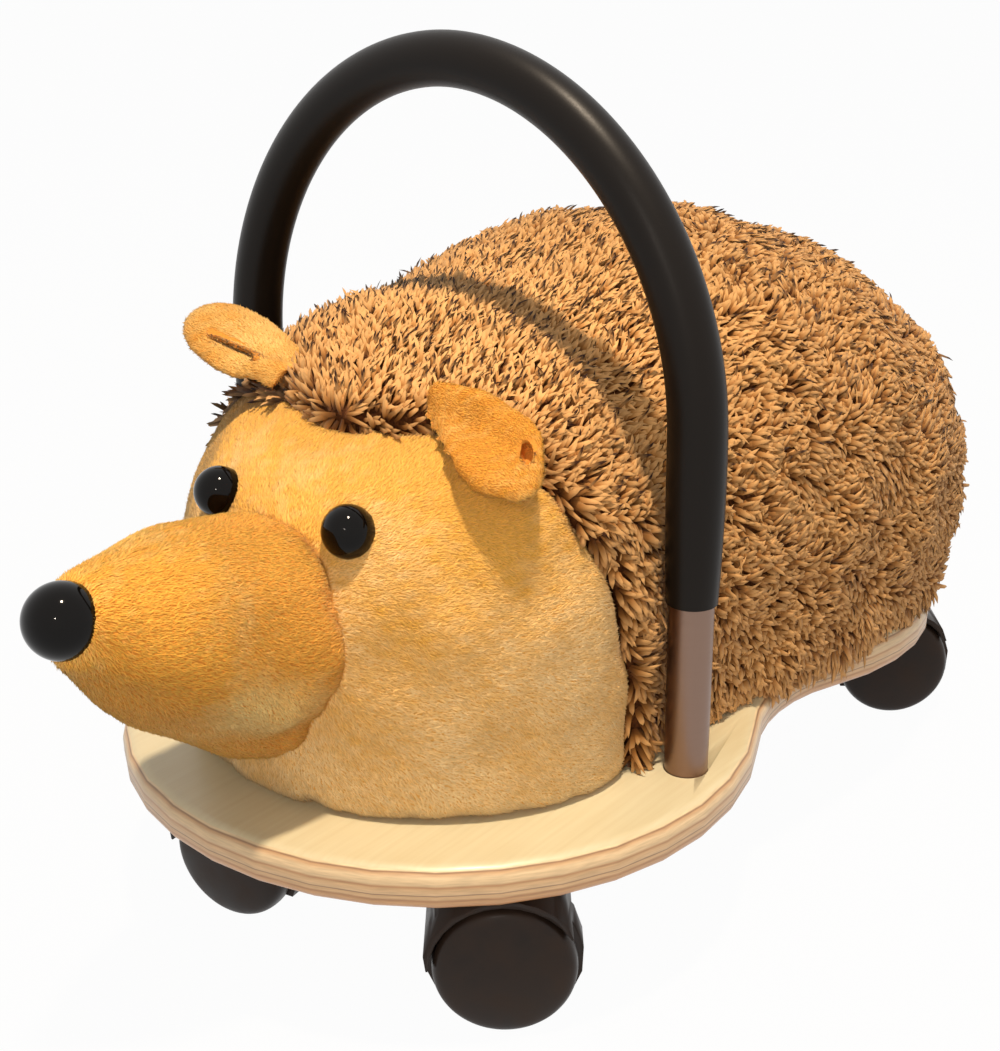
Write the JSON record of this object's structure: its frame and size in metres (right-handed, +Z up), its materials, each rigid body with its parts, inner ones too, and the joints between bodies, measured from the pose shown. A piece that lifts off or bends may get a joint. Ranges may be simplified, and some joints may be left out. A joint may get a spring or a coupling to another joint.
{
  "type": "plush ride-on animal",
  "caption": "Ride-on toy: a long-pile plush hedgehog on a waisted plywood board, with a padded hoop handle and twin-wheel swivel castors.",
  "frame": {"origin": "on the floor under the middle of the whole length, on the line down the middle of the animal", "axes": "-Y is ahead, the way the animal looks; +X is the animal's left; +Z is up"},
  "size_m": [0.294, 0.5344, 0.3852],
  "materials": {
    "birch_plywood": "clear satin varnish",
    "satin_aluminium": "satin",
    "black_grip_rubber": "smooth satin foam rubber",
    "black_nylon": "satin",
    "zinc_plated_steel": "bright zinc",
    "brown_long_pile_plush": "long tan pile with dark brown tips",
    "golden_short_pile_plush": "short brushed pile",
    "orange_short_pile_plush": "short brushed pile",
    "gloss_black_plastic": "polished"
  },
  "bodies": {
    "root": {"base_board": "birch_plywood", "plush_backer_board": "birch_plywood", "body": "brown_long_pile_plush", "head": "golden_short_pile_plush", "snout": "orange_short_pile_plush", "ear_left": "orange_short_pile_plush", "ear_right": "orange_short_pile_plush", "nose_button": "gloss_black_plastic", "eye_left": "gloss_black_plastic", "eye_right": "gloss_black_plastic", "handle_tube": "satin_aluminium", "handle_grip": "black_grip_rubber", "handle_plug_left": "satin_aluminium", "handle_bolt_left": "zinc_plated_steel", "handle_washer_left": "zinc_plated_steel", "handle_plug_right": "satin_aluminium", "handle_bolt_right": "zinc_plated_steel", "handle_washer_right": "zinc_plated_steel", "backer_screw_1": "zinc_plated_steel", "backer_screw_2": "zinc_plated_steel", "backer_screw_3": "zinc_plated_steel", "backer_screw_4": "zinc_plated_steel", "castor_front_left_plate": "zinc_plated_steel", "castor_front_left_screw_1": "zinc_plated_steel", "castor_front_left_screw_2": "zinc_plated_steel", "castor_front_left_screw_3": "zinc_plated_steel", "castor_front_left_screw_4": "zinc_plated_steel", "castor_front_right_plate": "zinc_plated_steel", "castor_front_right_screw_1": "zinc_plated_steel", "castor_front_right_screw_2": "zinc_plated_steel", "castor_front_right_screw_3": "zinc_plated_steel", "castor_front_right_screw_4": "zinc_plated_steel", "castor_rear_left_plate": "zinc_plated_steel", "castor_rear_left_screw_1": "zinc_plated_steel", "castor_rear_left_screw_2": "zinc_plated_steel", "castor_rear_left_screw_3": "zinc_plated_steel", "castor_rear_left_screw_4": "zinc_plated_steel", "castor_rear_right_plate": "zinc_plated_steel", "castor_rear_right_screw_1": "zinc_plated_steel", "castor_rear_right_screw_2": "zinc_plated_steel", "castor_rear_right_screw_3": "zinc_plated_steel", "castor_rear_right_screw_4": "zinc_plated_steel"},
    "castor_front_left_swivel": {"castor_front_left_hood": "black_nylon", "castor_front_left_axle": "zinc_plated_steel"},
    "castor_front_left_wheel_left": {"castor_front_left_wheel_left": "black_nylon"},
    "castor_front_left_wheel_right": {"castor_front_left_wheel_right": "black_nylon"},
    "castor_front_right_swivel": {"castor_front_right_hood": "black_nylon", "castor_front_right_axle": "zinc_plated_steel"},
    "castor_front_right_wheel_left": {"castor_front_right_wheel_left": "black_nylon"},
    "castor_front_right_wheel_right": {"castor_front_right_wheel_right": "black_nylon"},
    "castor_rear_left_swivel": {"castor_rear_left_hood": "black_nylon", "castor_rear_left_axle": "zinc_plated_steel"},
    "castor_rear_left_wheel_left": {"castor_rear_left_wheel_left": "black_nylon"},
    "castor_rear_left_wheel_right": {"castor_rear_left_wheel_right": "black_nylon"},
    "castor_rear_right_swivel": {"castor_rear_right_hood": "black_nylon", "castor_rear_right_axle": "zinc_plated_steel"},
    "castor_rear_right_wheel_left": {"castor_rear_right_wheel_left": "black_nylon"},
    "castor_rear_right_wheel_right": {"castor_rear_right_wheel_right": "black_nylon"}
  },
  "joints": [
    {"name": "castor_front_left_swivel_turn", "type": "hinge", "parent": "root", "child": "castor_front_left_swivel", "pos_m": [0.07351, -0.13592, 0.06], "axis": [0, 0, 1], "continuous": true},
    {"name": "castor_front_left_wheel_left_spin", "type": "hinge", "parent": "castor_front_left_swivel", "child": "castor_front_left_wheel_left", "pos_m": [0.08601, -0.1164, 0.03], "axis": [-0.6293, 0.7771, 0], "continuous": true},
    {"name": "castor_front_left_wheel_right_spin", "type": "hinge", "parent": "castor_front_left_swivel", "child": "castor_front_left_wheel_right", "pos_m": [0.0952, -0.12775, 0.03], "axis": [-0.6293, 0.7771, 0], "continuous": true},
    {"name": "castor_front_right_swivel_turn", "type": "hinge", "parent": "root", "child": "castor_front_right_swivel", "pos_m": [-0.07351, -0.13592, 0.06], "axis": [0, 0, 1], "continuous": true},
    {"name": "castor_front_right_wheel_left_spin", "type": "hinge", "parent": "castor_front_right_swivel", "child": "castor_front_right_wheel_left", "pos_m": [-0.05311, -0.12491, 0.03], "axis": [-0.1736, 0.9848, 0], "continuous": true},
    {"name": "castor_front_right_wheel_right_spin", "type": "hinge", "parent": "castor_front_right_swivel", "child": "castor_front_right_wheel_right", "pos_m": [-0.05058, -0.13929, 0.03], "axis": [-0.1736, 0.9848, 0], "continuous": true},
    {"name": "castor_rear_left_swivel_turn", "type": "hinge", "parent": "root", "child": "castor_rear_left_swivel", "pos_m": [0.07235, 0.21608, 0.06], "axis": [0, 0, 1], "continuous": true},
    {"name": "castor_rear_left_wheel_left_spin", "type": "hinge", "parent": "castor_rear_left_swivel", "child": "castor_rear_left_wheel_left", "pos_m": [0.08519, 0.23538, 0.03], "axis": [-0.6157, 0.788, 0], "continuous": true},
    {"name": "castor_rear_left_wheel_right_spin", "type": "hinge", "parent": "castor_rear_left_swivel", "child": "castor_rear_left_wheel_right", "pos_m": [0.09418, 0.22387, 0.03], "axis": [-0.6157, 0.788, 0], "continuous": true},
    {"name": "castor_rear_right_swivel_turn", "type": "hinge", "parent": "root", "child": "castor_rear_right_swivel", "pos_m": [-0.07235, 0.21608, 0.06], "axis": [0, 0, 1], "continuous": true},
    {"name": "castor_rear_right_wheel_left_spin", "type": "hinge", "parent": "castor_rear_right_swivel", "child": "castor_rear_right_wheel_left", "pos_m": [-0.05522, 0.2317, 0.03], "axis": [-0.4067, 0.9135, 0], "continuous": true},
    {"name": "castor_rear_right_wheel_right_spin", "type": "hinge", "parent": "castor_rear_right_swivel", "child": "castor_rear_right_wheel_right", "pos_m": [-0.04928, 0.21836, 0.03], "axis": [-0.4067, 0.9135, 0], "continuous": true}
  ]
}
